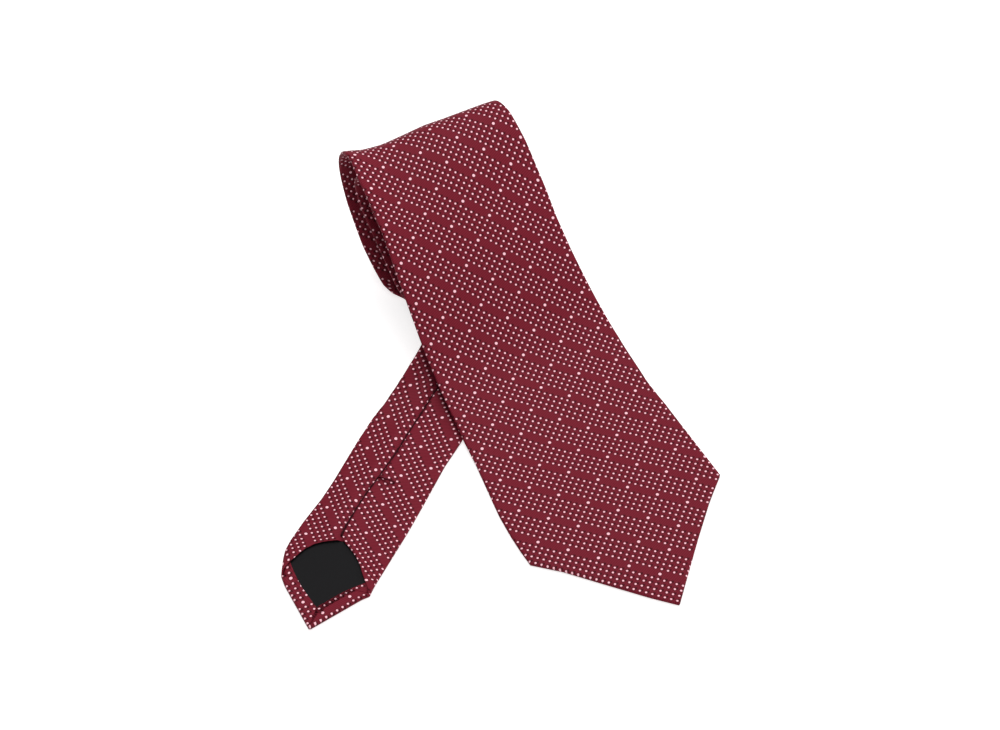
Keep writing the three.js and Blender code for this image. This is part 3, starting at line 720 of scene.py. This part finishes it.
keeper = Sheets()
ks, kv = spaced(158.4, 0.8, 170.6), np.linspace(-30, 30, 61)[None, :]
for depth in (0.0, 0.42):  # two layers, turned in at both long edges
    uv = blade_lattice(ks[:, None] + 31 + 0 * kv, kv + 5 * depth)
    keeper.grid(place(ks[:, None], kv + 0 * ks[:, None], keeper_n(ks[:, None], kv) - depth), lambda j, uv=uv: uv)
for s_edge in (ks[0], ks[-1]):
    depth = np.array([0.0, 0.1, 0.21, 0.32, 0.42])[None, :]
    bulge = np.array([0.0, 0.16, 0.2, 0.16, 0.0])[None, :] * (-1 if s_edge == ks[0] else 1)
    kvv = kv.T
    P = place(s_edge + bulge, kvv + 0 * bulge, keeper_n(s_edge, kvv) - depth)
    uv = blade_lattice(s_edge + 31 + depth + 0 * kvv, kvv + 0 * depth)
    keeper.grid(P, lambda j, uv=uv: uv)
keeper_silk = keeper.build("keeper_silk", SILK, 0.24)

brand = strip("brand_tape", LABEL, spaced(130.3, 1.0, 151.7), lambda s: -22 + 0 * s, lambda s: 22 + 0 * s, -1.32, 0.22, 24)
care = strip("care_tape", TAG, spaced(133.2, 1.0, 148.8), lambda s: 24.2 + 0 * s, lambda s: 35.8 + 0 * s, -1.32, 0.18, 8)


# ---------------------------------------------------------------- threads
def tube(name, points, radius, material, sides=8):
    """A closed tube of thread through points, which are in metres; the radius is in mm, one for all or one each."""
    P = np.array(points, float)
    R = np.broadcast_to(radius, len(P)) / 1000
    T = np.gradient(P, axis=0)
    T /= np.linalg.norm(T, axis=1)[:, None]
    up = np.cross(T[0], [0.3, 0.2, 1.0])
    up /= np.linalg.norm(up)
    verts, faces = [], []
    for k, (p, tangent) in enumerate(zip(P, T)):
        up = up - tangent * (up @ tangent)
        up /= np.linalg.norm(up)
        side = np.cross(tangent, up)
        ang = 2 * math.pi * np.arange(sides) / sides
        verts += [p + R[k] * (math.cos(a) * up + math.sin(a) * side) for a in ang]
        if k:
            o, q = (k - 1) * sides, k * sides
            faces += [(o + j, o + (j + 1) % sides, q + (j + 1) % sides, q + j) for j in range(sides)]
    last = (len(P) - 1) * sides
    faces += [tuple(range(sides))[::-1], tuple(last + j for j in range(sides))]
    mesh = bpy.data.meshes.new(name)
    mesh.from_pydata([tuple(v) for v in verts], [], faces)
    mesh.shade_smooth()
    obj = bpy.data.objects.new(name, mesh)
    bpy.context.scene.collection.objects.link(obj)
    mesh.materials.append(material)
    return obj


def slip_stitch(name, s0, s1):
    """The long ladder stitch between the lapped back flaps. Where the tail lies open to view it is drawn up into the
    groove, thick and dark, as a painted shadow line beside the right flap's folded edge.
    """
    n = max(8, int((s1 - s0) / 2.2))
    s = np.linspace(s0, s1, 4 * n + 1)
    right, _ = seam_edges(s)
    zig = np.clip(2 * np.sin(np.arange(4 * n + 1) * math.pi / 4), -1, 1)
    # seen: where the stitch is drawn up thick and dark as the painted shadow line
    seen = ramp(TOTAL - s, 185, 160)
    v = right + (1.5 + 0.5 * zig) * (1 - seen) + (-0.62 + 0.12 * zig) * seen
    return tube(name, place(s, v, -0.545 - 0.62 * seen), 0.09 + 0.44 * seen, STITCH_THREAD_AND_SHADOW, 6)


stitch_blade = slip_stitch("stitch_blade", BLADE_POINT + 41, BLADE_SEAM - 2)
stitch_neck = slip_stitch("stitch_neck", BLADE_SEAM + 2, NECK_SEAM - 2)
stitch_tail = slip_stitch("stitch_tail", NECK_SEAM + 2, TOTAL - 45.5)


def panel_seam(name, s):
    """The seam's thread, pressed into the joint of two panels, across the front."""
    w = half_width(np.array([s]))[0] - 0.8
    v = np.linspace(-w, w, 120)
    n = 0.72 + 0.05 * np.sin(np.arange(120) * 2.1)
    return tube(name, place(np.full_like(v, s + 0.06), v, n), 0.1, THREAD, 6)


seam_blade, seam_tail = panel_seam("seam_blade", BLADE_SEAM), panel_seam("seam_tail", NECK_SEAM)


def tack(name, s, v_mid, reach, rise, base):
    """A bar tack: a bow of corded thread over the lap, let into the cloth at both ends, in the darkened thread that
    paints its shade.
    """
    k = np.linspace(0, 1, 40)
    core = place(s + 1.0 * np.sin(math.pi * k), v_mid - reach + 2 * reach * k, -(base + rise * np.sin(math.pi * k) ** 0.7))
    obj = tube(name, core, 0.42, THREAD, 8)
    return obj


blade_tack = tack("blade_tack", 118.0, 0.0, 3.4, 0.7, 0.75)
tail_tack = tack("tail_tack", TOTAL - 78.4, 0.1, 3.6, 1.7, 1.5)

# ---------------------------------------------------------------- riding on the CAD
HINGE_B, HINGE_T = place(98.0, 0.0, 0.0), place(TOTAL - 100, 0.0, 0.0)
along = place(TOTAL - 92, 0.0, 0.0) - HINGE_T
for obj in (blade_silk, blade_wool, stitch_blade):
    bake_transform(obj)
for obj in (tail_silk, tail_wool, stitch_tail):
    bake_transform(obj)
for obj in (neck_silk, keeper_silk, brand, care, stitch_neck, seam_blade, seam_tail, blade_tack):
    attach(obj, "roll")
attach(blade_lining, "blade_end")
for obj in (tail_lining, tail_tack):
    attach(obj, "tail_end")

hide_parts("blade_shell_end", "blade_shell_roll")
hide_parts("neck_shell")
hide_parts("tail_shell_roll", "tail_shell_end")
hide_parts("blade_interlining_end", "blade_interlining_roll")
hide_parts("tail_interlining_roll", "tail_interlining_end")
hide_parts("blade_tipping")
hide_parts("tail_tipping")
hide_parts("slip_stitch_blade_end", "slip_stitch_roll")
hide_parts("slip_stitch_tail_end")
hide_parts("blade_neck_seam")
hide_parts("neck_tail_seam")
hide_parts("blade_bar_tack")
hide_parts("tail_bar_tack")
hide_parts("keeper_loop")
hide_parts("brand_label")
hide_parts("care_label")


# ---------------------------------------------------------------- floor, light, camera
mesh = bpy.data.meshes.new("floor")
mesh.from_pydata([(-4, -4, 0), (4, -4, 0), (4, 4, 0), (-4, 4, 0)], [], [(0, 1, 2, 3)])
floor = bpy.data.objects.new("floor", mesh)
bpy.context.scene.collection.objects.link(floor)
m, nodes, links, bsdf = new_material("white_floor")
bsdf.inputs["Base Color"].default_value = (0.5, 0.5, 0.5, 1)
bsdf.inputs["Emission Color"].default_value, bsdf.inputs["Emission Strength"].default_value = (1, 1, 1, 1), 0.75
bsdf.inputs["Roughness"].default_value = 0.9
bsdf.inputs["Specular IOR Level"].default_value = 0.0
mesh.materials.append(m)
floor.location.z = -0.0002

world = bpy.data.worlds.new("studio")
bpy.context.scene.world = world
world.use_nodes = True
world.node_tree.nodes["Background"].inputs[0].default_value = (1, 1, 1, 1)
wn, wl = world.node_tree.nodes, world.node_tree.links
# brightest overhead, dim from the left
way = wn.new("ShaderNodeTexCoord")
lean = wn.new("ShaderNodeVectorMath")
lean.operation = "DOT_PRODUCT"
lean.inputs[1].default_value = (0.80, -0.20, 0.70)
wl.new(way.outputs["Generated"], lean.inputs[0])
bright = wn.new("ShaderNodeMapRange")
bright.interpolation_type = "SMOOTHSTEP"
bright.inputs["From Min"].default_value, bright.inputs["From Max"].default_value = -0.3, 0.8
bright.inputs["To Min"].default_value, bright.inputs["To Max"].default_value = 0.02, 1.10
wl.new(lean.outputs["Value"], bright.inputs["Value"])
wl.new(bright.outputs[0], wn["Background"].inputs[1])


def area_light(name, place_, target, size, power):
    lamp = bpy.data.lights.new(name, "AREA")
    lamp.shape, lamp.size, lamp.size_y, lamp.energy = "RECTANGLE", size[0], size[1], power
    obj = bpy.data.objects.new(name, lamp)
    bpy.context.scene.collection.objects.link(obj)
    obj.location = place_
    obj.rotation_mode = "QUATERNION"
    obj.rotation_quaternion = (Vector(target) - Vector(place_)).to_track_quat("-Z", "Y")
    return obj


area_light("key", (0.10, 0.38, 1.5), (0, 0, 0), (0.7, 0.7), 11.0)

right_axis, forward = Vector((0.92636, -0.37664, 0)).normalized(), Vector((0.2563, 0.6304, -0.7327)).normalized()
up_axis = right_axis.cross(forward)
roll = math.radians(-3.7925)
cx, cy = right_axis * math.cos(roll) + up_axis * math.sin(roll), up_axis * math.cos(roll) - right_axis * math.sin(roll)
cam = bpy.data.objects.new("camera", bpy.data.cameras.new("camera"))
bpy.context.scene.collection.objects.link(cam)
cam.matrix_world = Matrix(((cx.x, cy.x, -forward.x, -0.18207), (cx.y, cy.y, -forward.y, -0.5171), (cx.z, cy.z, -forward.z, 0.6296), (0, 0, 0, 1)))
cam.data.sensor_fit, cam.data.sensor_width, cam.data.lens = "HORIZONTAL", 36, 70.87
cam.data.clip_start, cam.data.clip_end = 0.01, 50
bpy.context.scene.camera = cam
bpy.context.scene.view_settings.view_transform = "Standard"
